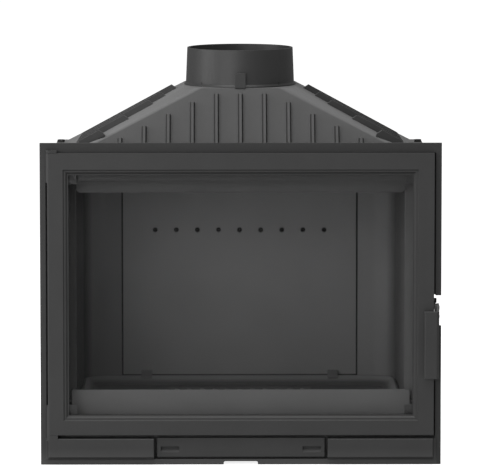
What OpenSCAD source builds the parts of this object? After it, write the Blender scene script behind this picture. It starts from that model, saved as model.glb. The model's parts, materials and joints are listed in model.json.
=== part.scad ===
/* [Overall] */
// Width of the front frame
frame_w = 700; // [660:1:760]
// Height of the front frame
frame_h = 565; // [540:1:620]
// Depth from the frame's face to the back of the rear ribs
body_d = 426; // [400:1:470]
// Inner diameter of the flue collar
flue_d = 180; // [160:1:184]

/* [Front frame] */
// Thickness of the outer flange
flange_t = 8; // [6:0.5:10]
// Width of the side border beside the door
border_w = 10; // [9:0.5:14]
// Height of the top border above the door
border_top = 16.5; // [14:0.5:20]
// Depth of the recess that the door sits in
recess_d = 14; // [13:0.5:16]
// Thickness of the sealing land behind the door
land_t = 8; // [7:0.5:10]
// Width of the sealing land at the sides
land_w = 39; // [34:1:44]
// Height of the sealing land above the fire opening
land_top = 50.5; // [46:0.5:60]
// Height of the fire opening's lower edge
opening_z = 86; // [82:1:92]
// Height of the lip along the bottom
lip_h = 10; // [9:0.5:11]
// Lower edge of the apron panels
panel_z = 14.7; // [14:0.1:16]
// Upper edge of the apron panels
panel_top = 46.7; // [44:0.1:47]
// How far panels and door stand in front of the frame
proud = 10; // [9.5:0.5:12]

/* [Door] */
// Gap between the door and the frame's border at its sides
door_gap = 3; // [3:0.5:4]
// Gap between the door and the frame's border above it
door_top_gap = 0.5; // [0.4:0.1:3]
// Height of the door's lower edge
door_z = 53.5; // [53:0.5:56]
// Thickness of the door casting
door_t = 13; // [12.5:0.5:14]
// Width of the casting beside the bevelled window
stile_w = 27.3; // [26:0.1:30]
// Height of the casting above the bevelled window
top_rail = 28.6; // [27:0.1:32]
// Height of the casting below the bevelled window
low_rail = 25.2; // [25:0.1:30]
// Width of the chamfer round the window's outline
lip_w = 1.6; // [1:0.1:3]
// Width of the flat band between the window's chamfers
band_w = 3; // [2:0.1:4]
// Width of the window's inner chamfer
bevel_w = 2.9; // [2:0.1:4]
// Depth of the window's bevelled step
bevel_d = 6; // [4:0.5:6]
// Width of the flat ledge round the glass
ledge_w = 2; // [1:0.1:4]
// Thickness of the glass
glass_t = 4; // [3:0.5:5]
// Radius of the hinge barrel
barrel_r = 7; // [6.8:0.1:7.2]
// Length of each hinge barrel
barrel_l = 52; // [40:1:70]
// Radius of the hinge pins
hinge_pin_r = 3; // [2:0.1:3.4]

/* [Handle] */
// Height of the handle's pivot
pivot_z = 277; // [262:1:280]
// Radius of the handle's eye
eye_r = 7.6; // [7:0.1:8]
// Width of the grip
grip_w = 26; // [22:1:28]
// Depth of the grip
grip_t = 13; // [10:1:15]
// Height of the grip
grip_h = 118; // [90:1:140]

/* [Body] */
// Thickness of the cast walls
wall_t = 6; // [5:0.5:8]
// How far the flange reaches past the side walls
flange_reach = 34; // [32:1:40]
// Height of the levelling feet under the base plate
foot_h = 10; // [10:0.5:11]
// Height of the outside ribs
rib_h = 8; // [5:0.5:10]
// Width of the outside ribs
rib_w = 8; // [5:0.5:10]

/* [Hood and collar] */
// Height of the hood's sloping part
slope_h = 116; // [105:1:125]
// Spacing of the ribs on the hood as a share of its half width
rib_pitch_share = 0.1344; // [0.12:0.0002:0.136]
// Height of the collar above the hood
collar_h = 66; // [50:1:75]
// Thickness of the collar at its rim
collar_t = 4; // [3:0.5:5]

/* [Firebox] */
// Top of the hearth plate's floor
floor_z = 98; // [96:1:100]
// Height of the raised rim round the hearth
rim_h = 15.8; // [12:0.1:18]
// Distance from the frame's face to the back plate
back_y = 330; // [310:1:345]
// Distance from the side walls to the back plate's edges
back_in = 98.7; // [90:0.1:120]
// Number of air holes in the back plate
hole_n = 9; // [5:1:9]
// Share of the back plate's width that the row of air holes takes
hole_row_share = 0.725; // [0.6:0.005:0.85]
// Radius of the air holes
hole_r = 4.5; // [3:0.1:6]
// Height of the log retainer's top edge
retainer_top = 127.3; // [118:0.1:140]
// Thickness of the lining plates
lining_t = 5; // [4:0.5:7]

/* [Ash drawer] */
// Width of the ash drawer's front
ash_w = 292.8; // [270:0.1:296]
// Height of the ash drawer's lower edge
ash_z = 12.3; // [12:0.1:13]
// Height of the ash drawer's upper edge
ash_top = 47.4; // [46:0.1:48]
// Thickness of the ash drawer's front
ash_t = 10; // [9:0.5:11]
// Length of the ash pan
pan_l = 322; // [260:1:340]

/* [Hidden] */
$fn = 64;

// Overrun of every cut past the face that it leaves
over = 1;
// Depth that joined solids of one piece reach into each other
root = 1;
// Height of thin heads, and free length at a bore's blind end
thin = 1;
// Gap between a part that moves and its neighbour
run_gap = 0.3;
// Radial play of a pin or screw in its hole
pin_play = 0.05;

// Half width of the frame, and its full depth
half_w = frame_w / 2;
frame_t = recess_d + land_t;
recess_half = half_w - border_w;
recess_top = frame_h - border_top;
opening_half = recess_half - land_w;
opening_top = recess_top - land_top;
opening_r = 8;

// Door outline
door_half = recess_half - door_gap;
door_top = recess_top - door_top_gap;
door_back = door_t - proud;

// Walls of the body
wall_top_gap = 39;
wall_top = frame_h - wall_top_gap;
wall_half = half_w - flange_reach;
wall_in = wall_half - wall_t;
base_z = foot_h;
base_t = 6;
wall_z = base_z + base_t;
box_back = body_d - rib_h;
rear_y = box_back - wall_t;

// Handle and its place on the door
grip_gap = 1;
grip_back = proud + grip_gap;
grip_front = grip_back + grip_t;
// The part's origin lies below the middle of its depth
mid_y = (body_d - grip_front) / 2;

module from_front() translate([0, -mid_y, 0]) children();

module both_sides() {
    children();
    mirror([1, 0, 0]) children();
}

module block(low, high) translate(low) cube(high - low);

// An outline in Y and Z, drawn out along X
module prism_x(points, x0, x1)
    translate([x0, 0, 0]) rotate([90, 0, 90]) linear_extrude(x1 - x0) polygon(points);

// An outline in X and Z, drawn out along Y
module prism_y(points, y0, y1)
    translate([0, y1, 0]) rotate([90, 0, 0]) linear_extrude(y1 - y0) polygon(points);

// An outline in X and Y, drawn out along Z
module prism_z(points, z0, z1)
    translate([0, 0, z0]) linear_extrude(z1 - z0) polygon(points);

module rod_x(x0, x1, y, z, r) translate([x0, y, z]) rotate([0, 90, 0]) cylinder(h = x1 - x0, r = r);

module rod_y(y0, y1, x, z, r) translate([x, y0, z]) rotate([-90, 0, 0]) cylinder(h = y1 - y0, r = r);

module rod_z(z0, z1, x, y, r) translate([x, y, z0]) cylinder(h = z1 - z0, r = r);

// A flat rectangle with round corners, standing in X and Z
module round_slab(x_half, z0, z1, y0, y1, r) {
    block([-x_half + r, y0, z0], [x_half - r, y1, z1]);
    block([-x_half, y0, z0 + r], [x_half, y1, z1 - r]);
    both_sides() for (z = [z0 + r, z1 - r]) rod_y(y0, y1, x_half - r, z, r);
}

// A rectangular ring standing in X and Z
module ring(x_out, z_out0, z_out1, wide, y0, y1) difference() {
    block([-x_out, y0, z_out0], [x_out, y1, z_out1]);
    block([-x_out + wide, y0 - over, z_out0 + wide], [x_out - wide, y1 + over, z_out1 - wide]);
}

// Hinge axis
hinge_x = -(recess_half - barrel_r - run_gap);
hinge_y = barrel_r - proud;
lug_reach = 20;
lug_top = 4.4;

// Cut-out in the right border for the latch
cut_below = 32.5;
cut_above = 21;
cut_step = 2.5;
cut_z0 = pivot_z - cut_below;
cut_z1 = pivot_z + cut_above;
latch_x = recess_half - cut_step;

// Keeper pin on the latch side
keeper_r = 4.4;
keeper_shank_r = 3;
keeper_set = 0.1;
keeper_rise = 10;
keeper_y = recess_d + keeper_r + keeper_set;
keeper_z = pivot_z + keeper_rise;
keeper_l = 5;
keeper_boss_l = 15;
keeper_boss_r = 8;
keeper_boss_d = 4;

// Apron below the door
panel_edge = 1;
panel_bevel = 4.6;
panel_end = 1;
panel_step = 4.5;
panel_step_d = 4;
ash_side_gap = 5.6;
ash_half = ash_w / 2;
ash_recess_half = ash_half + ash_side_gap;
groove_gap = 0.5;
groove_z = panel_top + groove_gap;
flange_set = 4;

// Opening that the ash pan slides through
pan_inset = 14.4;
runner_t = 2;
pan_half = ash_half - pan_inset;
pan_z0 = wall_z + runner_t + run_gap;
pan_z1 = 42;
pan_room = 1;
pan_side_room = 4;
pan_room_half = pan_half + pan_side_room;

// Notch in the bottom lip
notch_half = 30;
notch_h = 5.8;
notch_r = 3;

// Bolts between the side walls and the frame
frame_bolt_r = 4;
frame_bolt_out = 10;
frame_bolt_x = wall_half + frame_bolt_out;
frame_bolt_depth = 6;
frame_bolt_shares = [0.12, 0.4, 0.9];
frame_bolt_zs = [for (share = frame_bolt_shares) wall_z + share * (wall_top - wall_z)];

// Screws of the air deflector
deflector_screw_r = 2.5;
deflector_screw_rise = 18;
deflector_screw_z = opening_top + deflector_screw_rise;
deflector_screw_shares = [-0.66, 0, 0.66];
deflector_screw_xs = [for (share = deflector_screw_shares) share * opening_half];

module apron_panel() {
    x_end = door_half - panel_end;
    intersection() {
        prism_x([
            [0, lip_h], [panel_bevel - proud, lip_h], [-proud, panel_z], [-proud, panel_top - panel_edge],
            [panel_edge - proud, panel_top], [0, panel_top]
        ], ash_recess_half, recess_half + panel_step);
        prism_z([
            [ash_recess_half, 0], [ash_recess_half, panel_edge - proud],
            [ash_recess_half + panel_edge, -proud],
            [x_end - panel_edge, -proud], [x_end, panel_edge - proud], [x_end + panel_edge, -panel_step_d],
            [x_end + panel_step, -panel_step_d], [x_end + panel_step + panel_edge, panel_edge - panel_step_d],
            [x_end + panel_step + panel_edge, 0]
        ], 0, frame_h);
    }
}

// Tongue that carries a hinge pin
module hinge_lug(z0, z1, back) {
    rod_z(z0, z1, hinge_x, hinge_y, barrel_r);
    block([hinge_x, -proud, z0], [lug_reach - recess_half, back, z1]);
    block([hinge_x - barrel_r, hinge_y, z0], [hinge_x, back, z1]);
}

lower_lug_z = door_z - run_gap;
lug_root = 4;
pin_sink = 16;
hinge_bore_r = hinge_pin_r + pin_play;

module front_frame() color([0.22, 0.22, 0.23]) from_front() difference() {
    union() {
        difference() {
            union() {
                block([-half_w, 0, 0], [half_w, flange_t, frame_h]);
                block([-half_w + flange_set, 0, 0], [half_w - flange_set, frame_t, frame_h - flange_set]);
            }
            block([-recess_half, -over, groove_z], [recess_half, recess_d, recess_top]);
            block([-ash_recess_half, -over, lip_h], [ash_recess_half, recess_d, groove_z + over]);
            round_slab(opening_half, opening_z, opening_top, 0, frame_t + over, opening_r);
        }
        both_sides() apron_panel();
        hinge_lug(recess_top, recess_top + lug_top, recess_d);
        hinge_lug(panel_top - lug_root, lower_lug_z, 0);
        block([hinge_x - barrel_r, -root, groove_z - root], [lug_reach - recess_half, recess_d, lower_lug_z]);
        block([latch_x - keeper_boss_l, frame_t - root, keeper_z - keeper_boss_r],
            [latch_x, frame_t + keeper_boss_d, keeper_z + keeper_boss_r]);
    }
    block([latch_x, -over, cut_z0], [half_w + over, frame_t + keeper_boss_d + over, cut_z1]);
    block([-pan_room_half, 0, pan_z0 - pan_room], [pan_room_half, frame_t + over, pan_z1 + pan_room]);
    block([-notch_half, -over, -over], [notch_half, frame_t + over, notch_h - notch_r]);
    block([notch_r - notch_half, -over, -over], [notch_half - notch_r, frame_t + over, notch_h]);
    both_sides() rod_y(-over, frame_t + over, notch_half - notch_r, notch_h - notch_r, notch_r);
    rod_z(door_top, recess_top + lug_top + over, hinge_x, hinge_y, hinge_bore_r);
    rod_z(panel_top - pin_sink, door_z, hinge_x, hinge_y, hinge_bore_r);
    rod_x(latch_x - keeper_boss_l + thin, latch_x + over, keeper_y, keeper_z, keeper_shank_r + pin_play);
    both_sides() for (z = frame_bolt_zs)
        rod_y(frame_t - frame_bolt_depth, frame_t + over, frame_bolt_x, z, frame_bolt_r + pin_play);
    for (x = deflector_screw_xs)
        rod_y(frame_t - frame_bolt_depth, frame_t + over, x, deflector_screw_z, deflector_screw_r + pin_play);
}

module hinge_pin_upper() color("silver") from_front()
    rod_z(door_top - barrel_l + thin, recess_top + lug_top, hinge_x, hinge_y, hinge_pin_r);

module hinge_pin_lower() color("silver") from_front()
    rod_z(panel_top - pin_sink + thin, door_z + barrel_l - thin, hinge_x, hinge_y, hinge_pin_r);

module keeper_pin() color("silver") from_front() {
    rod_x(latch_x - keeper_boss_l + 2 * thin, latch_x, keeper_y, keeper_z, keeper_shank_r);
    rod_x(latch_x, latch_x + keeper_l, keeper_y, keeper_z, keeper_r);
}

// Side walls and their fixings
wall_rib_n = 5;
wall_lug_z = 24;
wall_lug_y = 8;
bolt_head_h = 5;
bolt_head_r = 6.5;
hearth_ledge = 20;
hearth_t = 8;
hearth_z0 = floor_z - hearth_t;
ledge_t = 8;
ledge_set = 4;
ledge_y0 = frame_t + ledge_set;
hood_flange = 16;
hood_flange_t = 8;
gasket_t = 2;
hood_bolt_x = wall_half + hood_flange / 2;
hood_bolt_shares = [0.15, 0.5, 0.85];
hood_bolt_ys = [for (share = hood_bolt_shares) frame_t + share * (box_back - frame_t)];
hood_bolt_r = 4;
wall_flange_t = 8;

module side_wall() difference() {
    union() {
        block([wall_in, frame_t, wall_z], [wall_half, rear_y, wall_top]);
        for (k = [0 : wall_rib_n - 1]) {
            y = frame_t + wall_lug_y + (rear_y - frame_t - wall_lug_y - rib_w) * (k + 1) / wall_rib_n;
            block([wall_half - root, y, wall_z], [wall_half + rib_h, y + rib_w, wall_top]);
        }
        block([wall_in, frame_t, wall_top - wall_flange_t], [wall_half + hood_flange, rear_y, wall_top]);
        for (z = frame_bolt_zs) translate([0, 0, z])
            block([wall_in, frame_t, -wall_lug_z / 2],
                [wall_half + hood_flange, frame_t + wall_lug_y, wall_lug_z / 2]);
        block([wall_in - hearth_ledge, ledge_y0, hearth_z0 - ledge_t],
            [wall_half, rear_y - ledge_t, hearth_z0]);
    }
    for (z = frame_bolt_zs)
        rod_y(frame_t - over, frame_t + wall_lug_y + over, frame_bolt_x, z, frame_bolt_r + pin_play);
    for (y = hood_bolt_ys)
        rod_z(wall_top - wall_flange_t - over, wall_top + over, hood_bolt_x, y, hood_bolt_r + pin_play);
}

module side_wall_right() color([0.25, 0.25, 0.26]) from_front() side_wall();

module side_wall_left() color([0.25, 0.25, 0.26]) from_front() mirror([1, 0, 0]) side_wall();

rear_rib_n = 5;
rear_rib_pitch = 2 * wall_half / (rear_rib_n + 1);

module rear_wall() color([0.25, 0.25, 0.26]) from_front() {
    block([-wall_half, rear_y, wall_z], [wall_half, box_back, wall_top]);
    for (k = [0 : rear_rib_n - 1]) translate([(k - (rear_rib_n - 1) / 2) * rear_rib_pitch, 0, 0])
        block([-rib_w / 2, box_back - root, wall_z], [rib_w / 2, body_d, wall_top]);
}

module frame_bolts() color("dimgray") from_front() both_sides() for (z = frame_bolt_zs) {
    y = frame_t + wall_lug_y;
    rod_y(frame_t - frame_bolt_depth + thin, y, frame_bolt_x, z, frame_bolt_r);
    translate([frame_bolt_x, y, z]) rotate([-90, 0, 0]) cylinder(h = bolt_head_h, r = bolt_head_r, $fn = 6);
}

// Levelling feet
foot_r = 16;
foot_pad_h = 4;
foot_screw_r = 5;
foot_screw_l = 28;
foot_nut_r = 9;
foot_in = 20;
foot_set = 38;
foot_x = wall_in - foot_in;
foot_ys = [frame_t + foot_set, box_back - foot_set];

module levelling_feet() color("gray") from_front() both_sides() for (y = foot_ys) {
    rod_z(0, foot_pad_h, foot_x, y, foot_r);
    rod_z(foot_pad_h - root, foot_screw_l, foot_x, y, foot_screw_r);
    translate([foot_x, y, foot_pad_h]) cylinder(h = base_z - foot_pad_h, r = foot_nut_r, $fn = 6);
}

// Air slide under the base plate
slide_t = 3;
slide_y0 = 50;
slide_w = 50;
slide_travel = 20;
slot_w = 18;
slot_n = 4;
slot_l = 30;
slot_pitch = 2 * slide_travel;
slide_end = 15;
slide_half = slot_n * slot_pitch / 2 + slide_end;
slide_top = base_z - run_gap;
rail_w = 5;
rail_t = 3;
rail_lip = 4;
rail_end = 5;
rail_z0 = slide_top - slide_t - run_gap - rail_t;
rail_half = slide_half + slide_travel / 2 + rail_end;
tab_half = 9;
tab_set = 2;
tab_y = frame_t + tab_set;
tab_z = 4.2;

module air_slots(shift, z0, z1) for (k = [0 : slot_n - 1]) {
    x = (k - (slot_n - 1) / 2) * slot_pitch + shift;
    y = slide_y0 + (slide_w - slot_l) / 2;
    block([x - slot_w / 2, y, z0], [x + slot_w / 2, y + slot_l, z1]);
}

module slide_rail(x0, x1) {
    y0 = slide_y0 - run_gap - rail_w;
    block([x0, y0, rail_z0], [x1, y0 + rail_w, base_z + root]);
    block([x0, y0, rail_z0], [x1, y0 + rail_w + rail_lip, slide_top - slide_t - run_gap]);
}

module base_plate() color([0.25, 0.25, 0.26]) from_front() difference() {
    tab_room = tab_half + slide_travel / 2 + rail_w;
    union() {
        block([-wall_half, frame_t, base_z], [wall_half, box_back, wall_z]);
        both_sides() slide_rail(tab_room, rail_half);
        translate([0, 2 * slide_y0 + slide_w, 0]) mirror([0, 1, 0]) slide_rail(-rail_half, rail_half);
    }
    air_slots(0, base_z - over, wall_z + over);
    both_sides() for (y = foot_ys) rod_z(base_z - over, wall_z + over, foot_x, y, foot_screw_r + pin_play);
}

module air_slide() color("gray") from_front() {
    shift = -slide_travel / 2;
    z0 = slide_top - slide_t;
    difference() {
        block([shift - slide_half, slide_y0, z0], [shift + slide_half, slide_y0 + slide_w, slide_top]);
        air_slots(-slide_travel, z0 - over, slide_top + over);
    }
    block([shift - tab_half, tab_y, z0], [shift + tab_half, slide_y0 + root, slide_top]);
    block([shift - tab_half, tab_y, tab_z], [shift + tab_half, tab_y + slide_t, slide_top]);
}

// Runners and guides of the ash drawer
runner_w = 14;
runner_set = 1;
guide_t = 3;
guide_h = 10;
runner_back = 40;

module drawer_runners() color("gray") from_front() both_sides() {
    guide_x = pan_half + run_gap;
    y0 = frame_t + runner_set;
    y1 = rear_y - runner_back;
    block([guide_x - runner_w, y0, wall_z], [guide_x + guide_t, y1, wall_z + runner_t]);
    block([guide_x, y0, wall_z], [guide_x + guide_t, y1, wall_z + guide_h]);
}

// Ash drawer
ash_proud = 2;
ash_corner_r = 3.5;
ash_edge = 2;
ash_back = ash_t - ash_proud;
grip_slot_x0 = 108;
grip_slot_x1 = 140;
grip_slot_z0 = 22;
grip_slot_z1 = 32.5;
grip_slot_d = 7;
grip_slot_back = 3.5;
pan_t = 1.5;
ash_screw_r = 2;
ash_screw_x = 60;
ash_screw_l = 6;
ash_screw_head = 2;
ash_seal_w = 4;
ash_seal_set = 1;

module ash_front() color([0.25, 0.25, 0.25]) from_front() difference() {
    union() {
        block([-ash_half + ash_corner_r, -ash_proud, ash_z], [ash_half - ash_corner_r, ash_back, ash_top]);
        block([-ash_half, -ash_proud, ash_z + ash_corner_r], [ash_half, ash_back, ash_top]);
        both_sides() rod_y(-ash_proud, ash_back, ash_half - ash_corner_r, ash_z + ash_corner_r, ash_corner_r);
    }
    prism_x([[-ash_proud - over, ash_z - over], [ash_edge + over - ash_proud, ash_z - over],
        [-ash_proud - over, ash_z + ash_edge + over]], -half_w, half_w);
    both_sides() prism_x([
        [-ash_proud - over, grip_slot_z0], [-ash_proud, grip_slot_z0],
        [grip_slot_d - ash_proud, grip_slot_z1 - grip_slot_back], [grip_slot_d - ash_proud, grip_slot_z1],
        [-ash_proud - over, grip_slot_z1]
    ], grip_slot_x0, grip_slot_x1);
    both_sides() rod_y(ash_back - ash_screw_l - over, ash_back + over, ash_screw_x, (pan_z0 + pan_z1) / 2,
        ash_screw_r + pin_play);
}

module ash_pan() color("lightgray") from_front() difference() {
    block([-pan_half, ash_back, pan_z0], [pan_half, ash_back + pan_l, pan_z1]);
    block([-pan_half + pan_t, ash_back + pan_t, pan_z0 + pan_t],
        [pan_half - pan_t, ash_back + pan_l - pan_t, pan_z1 + over]);
    both_sides() rod_y(ash_back - over, ash_back + pan_t + over, ash_screw_x, (pan_z0 + pan_z1) / 2,
        ash_screw_r + pin_play);
}

module ash_seal() color("white") from_front()
    ring(ash_half - ash_seal_set, ash_z + ash_seal_set, ash_top - ash_seal_set, ash_seal_w,
        ash_back, recess_d - run_gap);

module ash_screws() color("silver") from_front() both_sides() {
    z = (pan_z0 + pan_z1) / 2;
    rod_y(ash_back - ash_screw_l, ash_back + pan_t, ash_screw_x, z, ash_screw_r);
    rod_y(ash_back + pan_t, ash_back + pan_t + ash_screw_head, ash_screw_x, z, 2 * ash_screw_r);
}

// Hearth plate, with its pocket and grate
hearth_side = 1;
hearth_front = 40;
hearth_rear = 10;
back_half = wall_in - back_in;
hearth_back = back_y + hearth_rear;
rim_z1 = floor_z + rim_h;
rim_groove = 6;
seat_z = rim_z1 - rim_groove;
rim_land = 9;
rim_top = 3;
rim_back = back_y - rim_land;
rim_slope = 20;
rim_side = 32;
rim_half = wall_in - rim_side;
rim_steps = 12;
grate_half = 128;
grate_y0 = 100;
grate_l = 180;
grate_t = 5;
grate_gap = 1.2;
grate_seat = 8;
grate_slot_n = 11;
grate_slot_w = 9;
grate_slot_l = 150;

pocket_r = 20;
pocket_front = 24;
rim_r = pocket_r + rim_slope;

// The corners of the pocket's outline
module pocket_outline(grow) both_sides() {
    x = rim_half - rim_slope - pocket_r;
    translate([x, hearth_front + pocket_front + pocket_r]) circle(r = pocket_r + grow, $fn = 48);
    translate([x, rim_back - rim_slope - pocket_r]) circle(r = pocket_r + grow, $fn = 48);
}

// The rim's outline in X and Y: straight at the front, round at the back corners
function rim_corner() = [for (k = [0 : rim_steps])
    [rim_half - rim_r, rim_back - rim_r]
        + (rim_r + rim_top) * [cos(k / rim_steps * 90), sin(k / rim_steps * 90)]];
function mirrored(points) = [for (k = [len(points) - 1 : -1 : 0]) [-points[k][0], points[k][1]]];

module hearth_plate() color([0.27, 0.27, 0.27]) from_front() difference() {
    union() {
        block([-wall_in + hearth_side, hearth_front, hearth_z0],
            [wall_in - hearth_side, hearth_back, seat_z]);
        prism_z(concat(
            [[-rim_half - rim_top, hearth_front], [rim_half + rim_top, hearth_front]], rim_corner(),
            mirrored(rim_corner())
        ), seat_z - root, rim_z1);
    }
    hull() {
        translate([0, 0, floor_z]) linear_extrude(thin) pocket_outline(0);
        translate([0, 0, rim_z1]) linear_extrude(over) pocket_outline(rim_slope);
    }
    block([-grate_half - grate_gap, grate_y0 - grate_gap, floor_z - grate_t],
        [grate_half + grate_gap, grate_y0 + grate_l + grate_gap, floor_z + over]);
    block([-grate_half + grate_seat, grate_y0 + grate_seat, hearth_z0 - over],
        [grate_half - grate_seat, grate_y0 + grate_l - grate_seat, floor_z]);
}

module grate() color([0.3, 0.3, 0.3]) from_front() difference() {
    z0 = floor_z - grate_t;
    y_mid = grate_y0 + grate_l / 2;
    block([-grate_half, grate_y0, z0], [grate_half, grate_y0 + grate_l, floor_z]);
    pitch = (2 * (grate_half - grate_seat) + grate_slot_w) / grate_slot_n;
    for (k = [0 : grate_slot_n - 1]) {
        x = (k - (grate_slot_n - 1) / 2) * pitch;
        block([x - grate_slot_w / 2, y_mid - grate_slot_l / 2, z0 - over],
            [x + grate_slot_w / 2, y_mid + grate_slot_l / 2, floor_z + over]);
    }
}

// Log retainer
retainer_set = 8;
retainer_y = frame_t + retainer_set;
retainer_t = 6;
retainer_lean = 6;
retainer_steps = 8;
retainer_side = 13;
retainer_corner = 3;
retainer_drop = 10;
retainer_z0 = hearth_z0 - retainer_drop;

// A point of the retainer's bent section, from its foot to its top edge
function retainer_point(t, out) = [
    retainer_y + retainer_lean * t * t + out,
    retainer_z0 + (retainer_top - retainer_z0) * t
];

module log_retainer() color([0.3, 0.3, 0.3]) from_front() intersection() {
    x_half = wall_in - retainer_side;
    x_foot = wall_in - hearth_ledge - hearth_side;
    prism_x(concat(
        [for (k = [0 : retainer_steps]) retainer_point(k / retainer_steps, 0)],
        [for (k = [retainer_steps : -1 : 0]) retainer_point(k / retainer_steps, retainer_t)]
    ), -x_half, x_half);
    prism_y([
        [-x_half, hearth_z0], [-x_foot, hearth_z0], [-x_foot, retainer_z0], [x_foot, retainer_z0],
        [x_foot, hearth_z0], [x_half, hearth_z0], [x_half, retainer_top - retainer_corner],
        [x_half - retainer_corner, retainer_top], [retainer_corner - x_half, retainer_top],
        [-x_half, retainer_top - retainer_corner]
    ], 0, rear_y);
}

// Back plate, lining plates and the baffle that lies on them
plate_t = 6;
baffle_drop = 42;
baffle_z = wall_top - baffle_drop;
air_hole_drop = 105.3;
air_hole_z = baffle_z - air_hole_drop;
plate_gap = 3;
hole_pitch = 2 * back_half * hole_row_share / (hole_n - 1);
lining_front = 24;
lining_y0 = frame_t + lining_front;
lining_side = 22;
lining_taper = 5;
lining_set = 4;
lining_r = 42;
lining_steps = 12;
lining_flange = 20;
lining_x0 = wall_in - lining_side;
lining_x1 = lining_x0 - lining_taper;
lining_y1 = back_y - lining_set;

module back_plate() color([0.27, 0.27, 0.27]) from_front() difference() {
    block([-back_half, back_y, seat_z], [back_half, back_y + plate_t, baffle_z]);
    for (k = [0 : hole_n - 1])
        rod_y(back_y - over, back_y + plate_t + over, (k - (hole_n - 1) / 2) * hole_pitch, air_hole_z,
            hole_r);
}

// Path of a lining plate round the firebox corner, moved outwards by some distance
function lining_corner(out) = [for (k = [0 : lining_steps])
    [lining_x1 - lining_r, lining_y1 - lining_r]
        + (lining_r + out) * [cos(k / lining_steps * 90), sin(k / lining_steps * 90)]];

module lining() {
    flange_x = lining_x0 + lining_flange;
    prism_z(concat(
        [[flange_x, lining_y0], [lining_x0, lining_y0]], lining_corner(0),
        [[back_half + plate_gap, lining_y1], [back_half + plate_gap, lining_y1 + lining_t]],
        [for (k = [lining_steps : -1 : 0]) lining_corner(lining_t)[k]],
        [[lining_x0 + lining_t, lining_y0 + lining_t], [flange_x, lining_y0 + lining_t]]
    ), seat_z, baffle_z);
    block([lining_x0, lining_y0, baffle_z - root], [flange_x, lining_y0 + lining_t, opening_top]);
}

module lining_right() color([0.27, 0.27, 0.27]) from_front() lining();

module lining_left() color([0.27, 0.27, 0.27]) from_front() mirror([1, 0, 0]) lining();

hook_w = 19;
hook_share = 0.8;
hook_x0 = back_half * hook_share - hook_w / 2;
hook_h = 8.7;
hook_t = 6;
hook_rise = 4;
hook_inset = 3;

module plate_hooks() color([0.3, 0.3, 0.3]) from_front() {
    slope = rim_h / rim_slope;
    y0 = rim_back - rim_slope / 2;
    z0 = rim_z1 - slope * (rim_back - y0);
    both_sides() prism_x([
        [y0, z0 + hook_inset], [rim_back, rim_z1], [back_y - run_gap, rim_z1],
        [back_y - run_gap, rim_z1 + hook_h], [back_y - run_gap - hook_t, rim_z1 + hook_h],
        [y0, z0 + hook_inset + hook_rise]
    ], hook_x0, hook_x0 + hook_w);
}

baffle_t = 8;
baffle_side = 15;
baffle_set = 64;
baffle_half = wall_in - baffle_side;
baffle_y0 = frame_t + baffle_set;
baffle_lip = 12;

module smoke_baffle() color([0.27, 0.27, 0.27]) from_front() {
    block([-baffle_half, baffle_y0, baffle_z], [baffle_half, hearth_back, baffle_z + baffle_t]);
    block([-baffle_half, baffle_y0, baffle_z],
        [baffle_half, baffle_y0 + baffle_t, baffle_z + baffle_t + baffle_lip]);
}

deflector_t = 3;
deflector_set = 16;
deflector_side = 22;
deflector_half = wall_in - deflector_side;
deflector_y = frame_t + deflector_set;
deflector_drop = 23;
deflector_rise = 9;
deflector_flange = 18;
screw_head_h = 3;

module air_deflector() color([0.3, 0.3, 0.3]) from_front() difference() {
    z0 = opening_top - deflector_drop;
    z1 = opening_top + deflector_rise;
    intersection() {
        prism_x([
            [deflector_y, z0], [deflector_y + deflector_t, z0], [deflector_y + deflector_t, z1 + deflector_t],
            [frame_t + deflector_t, z1 + deflector_t], [frame_t + deflector_t, z1 + deflector_flange],
            [frame_t, z1 + deflector_flange], [frame_t, z1], [deflector_y, z1]
        ], -half_w, half_w);
        round_slab(deflector_half, z0, frame_h, 0, rear_y, opening_r);
    }
    for (x = deflector_screw_xs)
        rod_y(frame_t - over, frame_t + deflector_t + over, x, deflector_screw_z,
            deflector_screw_r + pin_play);
}

module deflector_screws() color("silver") from_front() for (x = deflector_screw_xs) {
    y = frame_t + deflector_t;
    rod_y(frame_t - frame_bolt_depth + thin, y, x, deflector_screw_z, deflector_screw_r);
    rod_y(y, y + screw_head_h, x, deflector_screw_z, 2 * deflector_screw_r);
}

// Hood: a hollow pyramid with rounded hips, ribs and a bolted base flange
hood_z = wall_top + gasket_t;
slope_z = hood_z + hood_flange_t;
neck_z = slope_z + slope_h;
flue_y = (frame_t + box_back) / 2;
hood_inset = 6;
hood_side_inset = 2;
hood_half = wall_half - hood_side_inset;
neck_rim = 10;
neck_half = flue_d / 2 + neck_rim;
neck_r = 34;
base_r = 12;
shell_t = 6;
hood_y_half = (box_back - frame_t) / 2 - hood_inset;
rim_z = neck_z + collar_h;

module pyramid(in, z0, foot, z1) hull() {
    both_sides() for (side = [-1, 1])
        translate([hood_half - base_r - in, flue_y + side * (hood_y_half - base_r - in), z0])
            cylinder(h = foot, r = base_r, $fn = 32);
    both_sides() for (side = [-1, 1])
        translate([neck_half - neck_r - in, flue_y + side * (neck_half - neck_r - in), z1 - thin])
            cylinder(h = thin, r = neck_r, $fn = 32);
}

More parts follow.
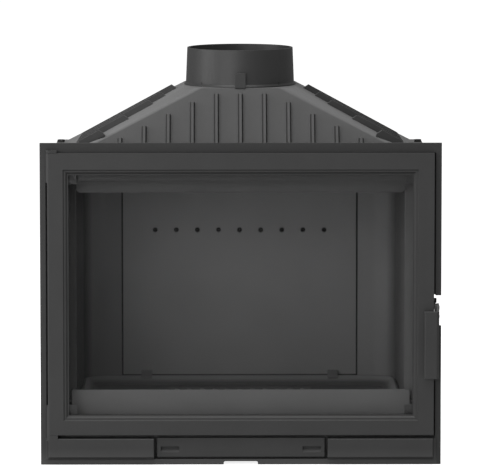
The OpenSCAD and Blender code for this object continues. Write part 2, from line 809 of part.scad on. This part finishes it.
// Length of the slopes and how far they lean back
front_run = hood_y_half - neck_half;
front_len = norm([front_run, slope_h]);
front_lean = atan2(front_run, slope_h);
front_foot_y = flue_y - hood_y_half;
side_run = hood_half - neck_half;
side_len = norm([side_run, slope_h]);
side_lean = atan2(side_run, slope_h);
hood_rib_h = 10;
hood_rib_w = 9;
hood_rib_top = 4.4;
hood_rib_sink = 4;
front_rib_start = 14;
side_rib_start = 24;
side_rib_lead = 19;
hood_rib_slant = 5;
front_rib_n = 5;
front_rib_top_share = 0.913;
front_rib_line_share = 0.961;
front_rib_step_share = 0.17;
side_rib_row_share = 0.8333;
side_rib_end_shares = [0.35, 0.55, 0.75, 0.85, 0.94];
side_rib_pitch = hood_y_half * side_rib_row_share / (len(side_rib_end_shares) - 1);
rib_pitch = hood_half * rib_pitch_share;

// A rib with sloping sides along Z, its back at y = 0, between two lengths
module rib_bar(from, lead, to) intersection() {
    half = hood_rib_w / 2;
    prism_x([
        [hood_rib_sink, from], [hood_rib_sink, to], [0, to], [-hood_rib_h, to - hood_rib_slant],
        [-hood_rib_h, from + lead], [0, from]
    ], -half, half);
    prism_z([
        [-half, hood_rib_sink], [-half, 0], [-hood_rib_top / 2, -hood_rib_h],
        [hood_rib_top / 2, -hood_rib_h], [half, 0], [half, hood_rib_sink]
    ], from, to);
}

module front_rib(k) {
    top_share = min(front_rib_top_share, front_rib_line_share - front_rib_step_share * (abs(k) - 1));
    translate([k * rib_pitch, front_foot_y, slope_z]) rotate([-front_lean, 0, 0])
        rib_bar(front_rib_start, 0, front_len * top_share);
}

module side_rib(k) {
    y = flue_y - (len(side_rib_end_shares) - 1 - k) * side_rib_pitch;
    translate([hood_half, y, slope_z]) rotate([0, 0, 90]) rotate([-side_lean, 0, 0])
        rib_bar(side_rib_start, side_rib_lead, side_len * side_rib_end_shares[k]);
}

// The hole in the hood is a little wider than the collar's bore
flue_step = 1;
collar_screw_r = 2.5;
collar_screw_out = 4.7;
collar_screw_ring = flue_d / 2 + collar_screw_out;
collar_screw_sink = 8;
collar_screw_angles = [45, 135, 225, 315];

module at_collar_screws() for (angle = collar_screw_angles)
    translate([collar_screw_ring * cos(angle), flue_y + collar_screw_ring * sin(angle), 0]) children();

module hood() color([0.36, 0.36, 0.37]) from_front() difference() {
    flange_half = wall_half + hood_flange;
    union() {
        block([-flange_half, frame_t, hood_z], [flange_half, box_back, slope_z]);
        pyramid(0, slope_z - root, root, neck_z);
        for (k = [-front_rib_n : front_rib_n]) front_rib(k);
        both_sides() for (k = [0 : len(side_rib_end_shares) - 1]) side_rib(k);
    }
    pyramid(shell_t, hood_z - over, hood_flange_t / 2 + over, neck_z - shell_t);
    translate([0, flue_y, hood_z]) cylinder(h = neck_z, r = flue_d / 2 + flue_step);
    at_collar_screws() cylinder(h = rim_z, r = collar_screw_r + pin_play);
    both_sides() for (y = hood_bolt_ys)
        rod_z(hood_z - over, slope_z + over, hood_bolt_x, y, hood_bolt_r + pin_play);
}

module hood_gasket() color("white") from_front() difference() {
    block([-wall_half, frame_t, wall_top], [wall_half, box_back, hood_z]);
    block([-wall_in, frame_t + wall_t, wall_top - over], [wall_in, rear_y, hood_z + over]);
}

module hood_bolts() color("dimgray") from_front() both_sides() for (y = hood_bolt_ys) {
    rod_z(wall_top - wall_flange_t - bolt_head_h, slope_z, hood_bolt_x, y, hood_bolt_r);
    translate([hood_bolt_x, y, slope_z]) cylinder(h = bolt_head_h, r = bolt_head_r, $fn = 6);
    translate([hood_bolt_x, y, wall_top - wall_flange_t - bolt_head_h])
        cylinder(h = bolt_head_h, r = bolt_head_r, $fn = 6);
}

// Flue collar with its lug
collar_foot = 9.4;
collar_fillet = 3;
collar_bead_h = 2;
lug_half = 9.3;
lug_h = 26;
lug_out = 12.5;
lug_cut = 6;

module flue_collar() color([0.3, 0.3, 0.3]) from_front() difference() {
    bore_r = flue_d / 2;
    foot_r = bore_r + collar_foot;
    union() {
        translate([0, flue_y, neck_z]) rotate_extrude() polygon([
            [bore_r, 0], [foot_r, 0], [foot_r, collar_bead_h],
            [foot_r - collar_fillet, collar_bead_h + collar_fillet],
            [bore_r + collar_t, rim_z - neck_z], [bore_r, rim_z - neck_z]
        ]);
        prism_y([
            [-lug_half, neck_z], [lug_half, neck_z], [lug_half, neck_z + lug_h],
            [lug_cut - lug_half, neck_z + lug_h], [-lug_half, neck_z + lug_h - lug_cut / 2]
        ], flue_y - bore_r - lug_out, flue_y - bore_r - thin);
    }
    at_collar_screws() translate([0, 0, neck_z - over])
        cylinder(h = collar_screw_sink, r = collar_screw_r + pin_play);
}

module collar_screws() color("silver") from_front() at_collar_screws() {
    z0 = neck_z - shell_t;
    translate([0, 0, z0]) cylinder(h = shell_t + collar_screw_sink - 2 * thin, r = collar_screw_r);
    translate([0, 0, z0 - screw_head_h]) cylinder(h = screw_head_h, r = collar_screw_r + thin);
}

// Window of the door
sight_ledge_t = 3;
bevel_half = door_half - stile_w;
bevel_z0 = door_z + low_rail;
bevel_z1 = door_top - top_rail;
ledge_y = bevel_d - proud;
lip_d = 2.5;
sight_in = lip_w + band_w + bevel_w + ledge_w;
sight_half = bevel_half - sight_in;
sight_z0 = bevel_z0 + sight_in;
sight_z1 = bevel_z1 - sight_in;
rebate_w = 8;
rebate_half = sight_half + rebate_w;
rebate_z0 = sight_z0 - rebate_w;
rebate_z1 = sight_z1 + rebate_w;
rebate_y = ledge_y + sight_ledge_t;
seal_t = 2;
glass_play = 0.8;
glass_y = rebate_y + seal_t;
glass_back = glass_y + glass_t;
edge_r = 3;

// Glass clips and their screws
clip_w = 14;
clip_x = sight_half - clip_w;
clip_t = 2;
clip_foot = 9;
clip_reach = 25;
clip_screw_r = 2;
clip_screw_l = 6;
clip_head_r = 3.4;
clip_head_h = 2.2;

// Door rope
rope_set = 9;
rope_w = 8;

// Handle's pivot pin
pivot_y = hinge_y;
pin_r = 3;
pin_bore_r = pin_r + pin_play;
handle_pin_sink = 20;
pin_head_r = 4;
claw_gap = 0.8;
claw_t = 3.5;
eye_t = 4.5;
claw_x0 = door_half + claw_gap;
claw_x1 = claw_x0 + claw_t;
eye_x1 = claw_x1 + eye_t;

// Sloping cut all round the window, some way in from its outline
module window_bevel(in, wide, y0, y1) {
    flare = wide / (y1 - y0) * over;
    out = flare - in;
    intersection() {
        prism_z([
            [-bevel_half - out, y0 - over], [bevel_half + out, y0 - over],
            [bevel_half - in - wide, y1], [in + wide - bevel_half, y1]
        ], 0, frame_h);
        prism_x([
            [y0 - over, bevel_z0 - out], [y0 - over, bevel_z1 + out],
            [y1, bevel_z1 - in - wide], [y1, bevel_z0 + in + wide]
        ], -half_w, half_w);
    }
}

module at_clips() both_sides() {
    translate([clip_x, 0, rebate_z1]) children();
    translate([clip_x, 0, rebate_z0]) mirror([0, 0, 1]) children();
}

module door_frame() color([0.26, 0.26, 0.26]) from_front() difference() {
    union() {
        block([-door_half + edge_r, -proud, door_z], [door_half, door_back, door_top]);
        block([-door_half, edge_r - proud, door_z], [-door_half + edge_r, door_back, door_top]);
        rod_z(door_z, door_top, -door_half + edge_r, edge_r - proud, edge_r);
        rod_z(door_z, door_z + barrel_l, hinge_x, hinge_y, barrel_r);
        rod_z(door_top - barrel_l, door_top, hinge_x, hinge_y, barrel_r);
    }
    window_bevel(0, lip_w, -proud, lip_d - proud);
    window_bevel(lip_w + band_w, bevel_w, lip_d - proud, ledge_y);
    block([-sight_half, -proud - over, sight_z0], [sight_half, door_back + over, sight_z1]);
    block([-rebate_half, rebate_y, rebate_z0], [rebate_half, door_back + over, rebate_z1]);
    rod_z(door_z - over, door_z + barrel_l, hinge_x, hinge_y, hinge_bore_r);
    rod_z(door_top - barrel_l, door_top + over, hinge_x, hinge_y, hinge_bore_r);
    at_clips()
        rod_y(door_back - clip_screw_l, door_back + over, clip_w / 2, clip_foot / 2, clip_screw_r + pin_play);
    rod_x(door_half - handle_pin_sink, door_half + over, pivot_y, pivot_z, pin_bore_r);
}

module door_glass() color([0.1, 0.1, 0.1, 0.3]) from_front()
    block([glass_play - rebate_half, glass_y, rebate_z0 + glass_play],
        [rebate_half - glass_play, glass_back, rebate_z1 - glass_play]);

module glass_gasket() color("white") from_front()
    ring(rebate_half - glass_play, rebate_z0 + glass_play, rebate_z1 - glass_play, rebate_w - 2 * glass_play,
        rebate_y, glass_y);

module glass_clips() color("silver") from_front() at_clips() difference() {
    union() {
        block([0, glass_back, -clip_reach], [clip_w, glass_back + clip_t, clip_foot]);
        block([0, door_back, glass_play], [clip_w, glass_back + clip_t, clip_foot]);
    }
    rod_y(door_back - over, glass_back + clip_t + over, clip_w / 2, clip_foot / 2, clip_screw_r + pin_play);
}

module clip_screws() color("silver") from_front() at_clips() {
    y = glass_back + clip_t;
    rod_y(door_back - clip_screw_l + thin, y, clip_w / 2, clip_foot / 2, clip_screw_r);
    rod_y(y, y + clip_head_h, clip_w / 2, clip_foot / 2, clip_head_r);
}

module door_rope() color("white") from_front()
    ring(door_half - rope_set, door_z + rope_set, door_top - rope_set, rope_w, door_back, recess_d - run_gap);

module handle_pin() color("silver") from_front() {
    rod_x(door_half - handle_pin_sink + thin, eye_x1, pivot_y, pivot_z, pin_r);
    rod_x(eye_x1, eye_x1 + thin, pivot_y, pivot_z, pin_head_r);
}

// Handle: grip, link and eye
grip_edge = 1.5;
grip_chamfer = 4;
grip_x0 = eye_x1 - grip_w;
grip_drop = 5.6;
grip_top = pivot_z - grip_drop;
grip_z0 = grip_top - grip_h;
link_drop = 21;
link_back = 4;
link_z = pivot_z - link_drop;
link_y = pivot_y + link_back;
rivet_r = 2;
rivet_out = 2;
rivet_drop = 15;
rivet_y = pivot_y - rivet_out;
rivet_z = pivot_z - rivet_drop;
rivet_head_r = 3;

module handle() color([0.25, 0.25, 0.25]) from_front() difference() {
    union() {
        prism_z([
            [grip_x0, -grip_back], [grip_x0, grip_edge - grip_front], [grip_x0 + grip_edge, -grip_front],
            [eye_x1 - grip_chamfer, -grip_front], [eye_x1, grip_chamfer - grip_front], [eye_x1, -grip_back]
        ], grip_z0, grip_top);
        prism_x([
            [grip_chamfer - grip_front, link_z], [link_y, link_z], [pivot_y + eye_r, pivot_z],
            [pivot_y, pivot_z + eye_r], [-grip_back, pivot_z + eye_r / 2],
            [grip_chamfer - grip_front, grip_top]
        ], claw_x1, eye_x1);
        rod_x(claw_x1, eye_x1, pivot_y, pivot_z, eye_r);
    }
    rod_x(claw_x1 - over, eye_x1 + over, pivot_y, pivot_z, pin_bore_r);
    rod_x(claw_x1 - over, eye_x1 + over, rivet_y, rivet_z, rivet_r + pin_play);
}

// Claw that reaches under and behind the keeper pin
claw_arm_h = 6;
claw_top = keeper_z - keeper_r - run_gap;
claw_nose_y = keeper_y + keeper_r + run_gap;
claw_nose_l = 5;
claw_end = 2;
claw_low = link_z + claw_end;
claw_back_gap = 0.6;

module latch_claw() color([0.3, 0.3, 0.3]) from_front() difference() {
    nose_drop = keeper_r / 2;
    union() {
        rod_x(claw_x0, claw_x1, pivot_y, pivot_z, eye_r - claw_back_gap);
        prism_x([
            [pivot_y, claw_top - nose_drop], [claw_nose_y - nose_drop, claw_top - nose_drop],
            [claw_nose_y, claw_top], [claw_nose_y + claw_nose_l - nose_drop, claw_top],
            [claw_nose_y + claw_nose_l, claw_top - nose_drop],
            [claw_nose_y + claw_nose_l, claw_top - claw_arm_h], [pivot_y, claw_top - nose_drop - claw_arm_h]
        ], claw_x0, claw_x1);
        block([claw_x0, claw_back_gap - grip_back, claw_low], [claw_x1, pivot_y + rivet_r, pivot_z]);
    }
    rod_x(claw_x0 - over, claw_x1 + over, pivot_y, pivot_z, pin_bore_r);
    rod_x(claw_x0 - over, claw_x1 + over, rivet_y, rivet_z, rivet_r + pin_play);
}

module claw_rivets() color("silver") from_front() {
    rod_x(claw_x0, eye_x1, rivet_y, rivet_z, rivet_r);
    rod_x(eye_x1, eye_x1 + thin, rivet_y, rivet_z, rivet_head_r);
}

front_frame();
side_wall_left();
side_wall_right();
rear_wall();
base_plate();
levelling_feet();
hood();
hood_gasket();
hood_bolts();
flue_collar();
collar_screws();
frame_bolts();
hearth_plate();
grate();
log_retainer();
back_plate();
plate_hooks();
lining_left();
lining_right();
smoke_baffle();
air_deflector();
deflector_screws();
drawer_runners();
hinge_pin_upper();
hinge_pin_lower();
keeper_pin();
door_frame();
door_glass();
glass_gasket();
glass_clips();
clip_screws();
door_rope();
handle_pin();
handle();
latch_claw();
claw_rivets();
ash_front();
ash_pan();
ash_seal();
ash_screws();
air_slide();
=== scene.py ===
"""A cast-iron fireplace insert in matte charcoal paint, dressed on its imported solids."""

import json
import math
from typing import NamedTuple

import bmesh
import bpy
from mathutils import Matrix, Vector

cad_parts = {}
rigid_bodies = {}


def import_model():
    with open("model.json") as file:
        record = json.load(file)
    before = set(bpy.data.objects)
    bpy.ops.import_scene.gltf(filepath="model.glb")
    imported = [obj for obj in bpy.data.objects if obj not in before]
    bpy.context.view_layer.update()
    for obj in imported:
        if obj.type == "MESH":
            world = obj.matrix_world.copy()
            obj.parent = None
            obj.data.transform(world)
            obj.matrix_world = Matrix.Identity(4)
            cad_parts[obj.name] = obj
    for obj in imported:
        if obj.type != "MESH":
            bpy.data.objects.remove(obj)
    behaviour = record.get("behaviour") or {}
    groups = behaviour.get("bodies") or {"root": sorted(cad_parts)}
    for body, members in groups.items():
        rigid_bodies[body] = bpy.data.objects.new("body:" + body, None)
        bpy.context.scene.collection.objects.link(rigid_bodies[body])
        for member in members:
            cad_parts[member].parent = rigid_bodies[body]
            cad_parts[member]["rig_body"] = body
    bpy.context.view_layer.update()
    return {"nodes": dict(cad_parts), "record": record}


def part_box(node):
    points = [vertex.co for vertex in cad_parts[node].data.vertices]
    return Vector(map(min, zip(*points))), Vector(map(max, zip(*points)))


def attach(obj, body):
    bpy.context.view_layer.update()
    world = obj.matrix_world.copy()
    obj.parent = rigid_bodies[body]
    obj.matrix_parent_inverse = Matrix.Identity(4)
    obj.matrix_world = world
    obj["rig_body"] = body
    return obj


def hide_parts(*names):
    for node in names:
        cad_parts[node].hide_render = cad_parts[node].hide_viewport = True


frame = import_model()

# The frame's face, which its foremost parts stand proud of
PROUD = 0.010
FACE_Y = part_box("front_frame")[0].y + PROUD

# Camera: long lens, a little above the object, looking down on it
CAMERA_PLACE = (-0.0534, FACE_Y - 7.954, 1.2505)
CAMERA_DOWN = math.radians(6.11)
CAMERA_RIGHT = math.radians(0.5)
CAMERA_LENS = 330.5
SENSOR_WIDTH = 36.0
VIEW_DEPTH = 200.0

# Light and floor
SKY_STRENGTH = 0.24
FLOOR_TONE = 0.9
FLOOR_GLOW = 0.85
FLOOR_SIZE = 60.0

# Meshes: corners closer than this are one, faces flatter than this are one, edges sharper than this are kept
SAME_PLACE = 1e-6
FLAT_ANGLE = math.radians(0.5)
SHARP_ANGLE = math.radians(32.0)
EDGE_STEPS = 2

# Sockets of the colour Mix node
MIX_FIRST, MIX_SECOND, MIX_RESULT = 6, 7, 2


def link(piece):
    bpy.context.scene.collection.objects.link(piece)
    return piece


# Materials


class Band(NamedTuple):
    """A grey that takes over between two values of one axis; here it paints light and shade."""
    axis: str
    start: float
    end: float
    tone: float


class Recipe:
    """A material's node tree with short helpers for the nodes that the finishes share."""

    def __init__(self, name):
        self.material = bpy.data.materials.new(name)
        self.material.use_nodes = True
        self.nodes = self.material.node_tree.nodes
        self.links = self.material.node_tree.links
        self.shader = self.nodes["Principled BSDF"]
        spots = self.nodes.new("ShaderNodeTexCoord").outputs
        self.place = spots["Object"]
        self.facing = spots["Normal"]

    def noise(self, scale, detail, rough):
        node = self.nodes.new("ShaderNodeTexNoise")
        node.inputs["Scale"].default_value = scale
        node.inputs["Detail"].default_value = detail
        node.inputs["Roughness"].default_value = rough
        self.links.new(self.place, node.inputs["Vector"])
        return node.outputs["Fac"]

    def ramp(self, value, low, high, low_out=0.0, high_out=1.0):
        node = self.nodes.new("ShaderNodeMapRange")
        for name, number in (("From Min", low), ("From Max", high), ("To Min", low_out), ("To Max", high_out)):
            node.inputs[name].default_value = number
        self.links.new(value, node.inputs["Value"])
        return node.outputs["Result"]

    def blend(self, factor, first, second):
        """Blends a colour over the first one, which is a colour or another node's output."""
        node = self.nodes.new("ShaderNodeMix")
        node.data_type = "RGBA"
        self.links.new(factor, node.inputs["Factor"])
        if isinstance(first, bpy.types.NodeSocket):
            self.links.new(first, node.inputs[MIX_FIRST])
        else:
            node.inputs[MIX_FIRST].default_value = (*first, 1.0)
        node.inputs[MIX_SECOND].default_value = (*second, 1.0)
        return node.outputs[MIX_RESULT]

    def along(self, vector, axis):
        node = self.nodes.new("ShaderNodeSeparateXYZ")
        self.links.new(vector, node.inputs["Vector"])
        return node.outputs[axis]

    def bump(self, height, distance, strength, before=None):
        node = self.nodes.new("ShaderNodeBump")
        node.inputs["Strength"].default_value = strength
        node.inputs["Distance"].default_value = distance
        self.links.new(height, node.inputs["Height"])
        if before is not None:
            self.links.new(before, node.inputs["Normal"])
        return node.outputs["Normal"]

    def into(self, socket, value):
        self.links.new(value, self.shader.inputs[socket])

    def fixed(self, socket, number):
        self.shader.inputs[socket].default_value = number


def grey(tone, warm=0.0):
    return (tone * (1.0 + warm), tone, tone * (1.0 - warm))


def casting(name, tone, sheen=0.3, rough=0.5, grain=1.0, dust=0.0, placed=(), facing=()):
    """Matte stove paint over a cast skin: cloudy tone, fine grain, a trace of pale dust.

    placed: bands of painted light and shade over the object's own axes, in metres.
    facing: bands of painted light and shade over the way a face looks, from 1 along the axis to -1 against it.
    """
    recipe = Recipe(name)
    cloud = recipe.noise(14.0, 4.0, 0.55)
    speck = recipe.noise(1400.0, 2.0, 0.6)
    skin = recipe.noise(260.0, 4.0, 0.6)
    colour = recipe.blend(recipe.ramp(cloud, 0.3, 0.7), grey(tone * 0.95), grey(tone * 1.05))
    # Painted light and shade: each band blends a lighter or darker grey over the paint
    for vector, bands in ((recipe.place, placed), (recipe.facing, facing)):
        for band in bands:
            share = recipe.ramp(recipe.along(vector, band.axis), band.start, band.end)
            colour = recipe.blend(share, colour, grey(band.tone))
    colour = recipe.blend(recipe.ramp(speck, 0.55, 0.75, high_out=0.35), colour, grey(tone * 1.3))
    if dust > 0.0:
        ash = recipe.noise(30.0, 6.0, 0.7)
        colour = recipe.blend(recipe.ramp(ash, 0.45, 0.8, high_out=dust), colour, grey(0.3, warm=0.04))
    recipe.into("Base Color", colour)
    recipe.into("Roughness", recipe.ramp(skin, 0.3, 0.7, rough, rough + 0.12))
    normal = recipe.bump(skin, distance=0.00025, strength=0.25 * grain)
    recipe.into("Normal", recipe.bump(speck, distance=0.0001, strength=0.3 * grain, before=normal))
    recipe.fixed("Specular IOR Level", sheen)
    return recipe.material


def steel(name, tone, rough):
    """Plated or drawn steel with faint drawing marks and a few duller patches."""
    recipe = Recipe(name)
    marks = recipe.noise(900.0, 2.0, 0.7)
    patch = recipe.noise(60.0, 4.0, 0.6)
    recipe.into("Base Color", recipe.blend(recipe.ramp(patch, 0.35, 0.7), grey(tone), grey(tone * 0.7)))
    recipe.into("Roughness", recipe.ramp(patch, 0.3, 0.7, rough - 0.06, rough + 0.08))
    recipe.into("Normal", recipe.bump(marks, distance=0.00008, strength=0.3))
    recipe.fixed("Metallic", 1.0)
    return recipe.material


def rope(name, tone):
    """Woven glass fibre: short slanted strands in two directions."""
    recipe = Recipe(name)
    waves = []
    for slant in (1.0, -1.0):
        wave = recipe.nodes.new("ShaderNodeTexWave")
        turn = recipe.nodes.new("ShaderNodeMapping")
        turn.inputs["Rotation"].default_value = (slant * 0.6, slant * 0.6, slant * 0.8)
        wave.inputs["Scale"].default_value = 170.0
        wave.inputs["Distortion"].default_value = 1.5
        recipe.links.new(recipe.place, turn.inputs["Vector"])
        recipe.links.new(turn.outputs["Vector"], wave.inputs["Vector"])
        waves.append(wave.outputs["Fac"])
    fuzz = recipe.noise(700.0, 3.0, 0.6)
    colour = recipe.blend(waves[0], grey(tone * 0.7), grey(tone))
    recipe.into("Base Color", recipe.blend(recipe.ramp(fuzz, 0.5, 0.8, high_out=0.5), colour, grey(tone * 1.2)))
    normal = recipe.bump(waves[0], distance=0.0008, strength=0.6)
    recipe.into("Normal", recipe.bump(waves[1], distance=0.0008, strength=0.5, before=normal))
    recipe.fixed("Roughness", 0.9)
    return recipe.material


def glass(name):
    """Clear heat-proof glass: nearly all light passes, with a trace of smoke haze."""
    recipe = Recipe(name)
    haze = recipe.noise(9.0, 5.0, 0.6)
    recipe.into("Base Color", recipe.blend(recipe.ramp(haze, 0.3, 0.8), grey(0.01), grey(0.03)))
    recipe.into("Roughness", recipe.ramp(haze, 0.3, 0.7, 0.03, 0.06))
    recipe.fixed("Alpha", 0.13)
    return recipe.material


# How coarse the cast skin is on pieces with no show face, and on the hood
COARSE = 1.4
HOOD_GRAIN = 1.2

# The tones below were fitted to the photograph, so they hold painted light and shade as well as paint and
# dust. The firebox is painted lighter than it is, to make up for the shade it lies in behind the glass.

# Painted light and shade: edges that look up are painted lighter, ones that look down darker
LIT_UP_SHADED_DOWN = (Band("Z", 0.3, 0.7, tone=0.075), Band("Z", -0.3, -0.7, tone=0.018))

FINISHES = {
    "casting": casting("door_casting", 0.042, facing=LIT_UP_SHADED_DOWN),
    "body_casting": casting("body_casting", 0.038, grain=COARSE),
    # Painted light from above: the hood is painted lighter the more a face looks up, lightest where it looks most
    # steeply up
    "hood_casting": casting(
        "hood_casting", 0.04, grain=HOOD_GRAIN,
        facing=(Band("Z", 0.2, 0.6, tone=0.07), Band("Z", 0.62, 0.88, tone=0.19))),
    "fire_casting": casting("fire_casting", 0.13, grain=COARSE, dust=0.03),
    "steel": steel("blackened_steel", 0.07, rough=0.5),
    "sheet_steel": steel("sheet_steel", 0.18, rough=0.48),
    "rope_seal": rope("rope_seal", 0.2),
    "glass": glass("clear_glass"),
}

# Nodes with a tone of their own, in place of their slot's
VARIANTS = {
    "flue_collar": casting("collar_casting", 0.034, sheen=0.5, rough=0.4),
    "front_frame": casting(
        "frame_casting", 0.041, facing=LIT_UP_SHADED_DOWN, placed=(
            Band("Z", 0.535, 0.552, tone=0.034),    # the top border, darker: painted shade beside the proud door
            Band("Z", 0.03, 0.0, tone=0.07),        # the bottom lip, lighter: painted light against its shadow on the floor
            Band("X", 0.341, 0.345, tone=0.033),    # the right border's outer strip, darker: painted shade
            Band("Y", -0.192, -0.188, tone=0.088),  # the land behind the door, lighter: painted light in the door's gaps
            Band("Y", -0.186, -0.183, tone=0.041),  # all that lies behind the land
        )),
    # Painted shade: the hearth plate is darker below its rim's slope and on its flat floor, where the retainer
    # shades them
    "hearth_plate": casting(
        "hearth_casting", 0.27, grain=COARSE, dust=0.03,
        placed=(Band("Z", 0.109, 0.103, tone=0.09),), facing=(Band("Z", 0.85, 0.97, tone=0.07),)),
    "plate_hooks": casting("hook_casting", 0.16),
    # Painted shadow: a dark line along the back plate's foot, where the hearth's ridge shades it
    "back_plate": casting(
        "back_plate_casting", 0.26, grain=COARSE, dust=0.03, placed=(Band("Z", 0.1155, 0.1145, tone=0.03),)),
    # Lit and shaded copies of one casting: the left lining is painted in shade, darkest on its front flange and
    # the side that faces into the fire; the right one is painted lighter, as lit from the left, with painted
    # shade on its flange and that side
    "lining_left": casting(
        "left_lining_casting", 0.2, sheen=0.2, grain=COARSE, dust=0.02,
        placed=(Band("Y", -0.148, -0.153, tone=0.04),), facing=(Band("X", 0.6, 0.97, tone=0.02),)),
    "lining_right": casting(
        "right_lining_casting", 0.26, grain=COARSE, dust=0.02,
        placed=(Band("Y", -0.148, -0.153, tone=0.13),), facing=(Band("X", -0.6, -0.97, tone=0.11),)),
    "glass_clips": steel("clip_steel", 0.11, rough=0.5),
    "log_retainer": casting("retainer_casting", 0.155, dust=0.02),
    "air_deflector": casting("deflector_casting", 0.1),
}


# Pieces

SLOTS = {entry["node"]: entry["material_slot"] for entry in frame["record"]["subparts"]}

# How wide each node's hard edges are rounded, in metres
EDGES = {
    "front_frame": 0.0008, "door_frame": 0.0008, "ash_front": 0.0008, "handle": 0.0012, "latch_claw": 0.0004,
    "hood": 0.0014, "flue_collar": 0.0007, "side_wall_left": 0.001, "side_wall_right": 0.001,
    "rear_wall": 0.001, "base_plate": 0.0008, "hearth_plate": 0.002, "grate": 0.0015, "log_retainer": 0.0006,
    "back_plate": 0.0008, "plate_hooks": 0.001, "lining_left": 0.0012, "lining_right": 0.0012,
    "smoke_baffle": 0.0012, "air_deflector": 0.0008, "air_slide": 0.0004, "ash_pan": 0.0003,
    "drawer_runners": 0.0004, "glass_clips": 0.0004, "keeper_pin": 0.0006, "hood_bolts": 0.0005,
    "frame_bolts": 0.0005, "levelling_feet": 0.0006, "door_rope": 0.0025, "ash_seal": 0.0012,
    "handle_pin": 0.0006, "claw_rivets": 0.0004, "clip_screws": 0.0004, "deflector_screws": 0.0005,
    "ash_screws": 0.0004, "collar_screws": 0.0005, "hinge_pin_upper": 0.0006, "hinge_pin_lower": 0.0006,
    "door_glass": 0.0006, "glass_gasket": 0.0007, "hood_gasket": 0.0008,
}


def whole_mesh(source):
    """A copy of a solid's mesh with its flat faces whole again."""
    mesh = source.data.copy()
    work = bmesh.new()
    work.from_mesh(mesh)
    bmesh.ops.remove_doubles(work, verts=work.verts, dist=SAME_PLACE)
    bmesh.ops.dissolve_limit(work, angle_limit=FLAT_ANGLE, verts=work.verts, edges=work.edges)
    work.to_mesh(mesh)
    work.free()
    mesh.shade_smooth()
    mesh.set_sharp_from_angle(angle=SHARP_ANGLE)
    return mesh


def softened(node, edge):
    """Stands in for a node with the same solid, its hard edges rounded as a casting's are."""
    source = frame["nodes"][node]
    piece = link(bpy.data.objects.new(node + "_cast", whole_mesh(source)))
    bevel = piece.modifiers.new("edges", "BEVEL")
    bevel.width = edge
    bevel.segments = EDGE_STEPS
    bevel.limit_method = "ANGLE"
    bevel.angle_limit = SHARP_ANGLE
    piece.modifiers.new("even", "WEIGHTED_NORMAL").keep_sharp = True
    graph = bpy.context.evaluated_depsgraph_get()
    done = bpy.data.meshes.new_from_object(piece.evaluated_get(graph))
    piece.modifiers.clear()
    piece.data = done
    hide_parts(node)
    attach(piece, source["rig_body"])
    return piece


def set_material(piece, material):
    piece.data.materials.clear()
    piece.data.materials.append(material)
    for face in piece.data.polygons:
        face.material_index = 0


for node, slot in SLOTS.items():
    piece = softened(node, EDGES[node])
    set_material(piece, VARIANTS.get(node, FINISHES[slot]))


# Floor, light and camera


def floor():
    """A pale floor that the camera sees as plain white."""
    mesh = bpy.data.meshes.new("floor")
    half = FLOOR_SIZE / 2
    mesh.from_pydata([(-half, -half, 0), (half, -half, 0), (half, half, 0), (-half, half, 0)], [], [(0, 1, 2, 3)])
    plane = link(bpy.data.objects.new("floor", mesh))
    material = bpy.data.materials.new("pale_floor")
    material.use_nodes = True
    nodes, links = material.node_tree.nodes, material.node_tree.links
    shader = nodes["Principled BSDF"]
    shader.inputs["Base Color"].default_value = (FLOOR_TONE, FLOOR_TONE, FLOOR_TONE, 1.0)
    shader.inputs["Roughness"].default_value = 0.9
    shader.inputs["Specular IOR Level"].default_value = 0.0
    shader.inputs["Emission Color"].default_value = (1.0, 1.0, 1.0, 1.0)
    seen = nodes.new("ShaderNodeLightPath").outputs["Is Camera Ray"]
    glow = nodes.new("ShaderNodeMath")
    glow.operation = "MULTIPLY"
    glow.inputs[1].default_value = FLOOR_GLOW
    links.new(seen, glow.inputs[0])
    links.new(glow.outputs["Value"], shader.inputs["Emission Strength"])
    mesh.materials.append(material)


def sky():
    """An even soft room light. Where a low camera sees it past the floor, it is grey."""
    world = bpy.data.worlds.new("room")
    bpy.context.scene.world = world
    world.use_nodes = True
    background = world.node_tree.nodes["Background"]
    background.inputs["Color"].default_value = (1.0, 1.0, 1.0, 1.0)
    background.inputs["Strength"].default_value = SKY_STRENGTH


def softbox(name, place, aim, size, power):
    light = bpy.data.lights.new(name, "AREA")
    light.shape = "SQUARE"
    light.size = size
    light.energy = power
    lamp = link(bpy.data.objects.new(name, light))
    lamp.location = place
    lamp.rotation_euler = (Vector(aim) - Vector(place)).to_track_quat("-Z", "Y").to_euler()


def camera():
    data = bpy.data.cameras.new("camera")
    data.lens = CAMERA_LENS
    data.sensor_width = SENSOR_WIDTH
    data.clip_end = VIEW_DEPTH
    view = link(bpy.data.objects.new("camera", data))
    view.location = CAMERA_PLACE
    view.rotation_euler = (math.pi / 2 - CAMERA_DOWN, 0.0, -CAMERA_RIGHT)
    bpy.context.scene.camera = view


floor()
sky()
softbox("left_light", place=(-4.0, -1.1, 1.7), aim=(0.0, 0.0, 0.4), size=2.2, power=68.0)
softbox("key_light", place=(-1.8, -4.0, 1.3), aim=(0.0, 0.0, 0.35), size=2.4, power=49.0)
softbox("top_light", place=(-0.3, -0.9, 3.2), aim=(0.0, 0.0, 0.4), size=2.4, power=52.0)
camera()
bpy.context.scene.view_settings.view_transform = "Standard"
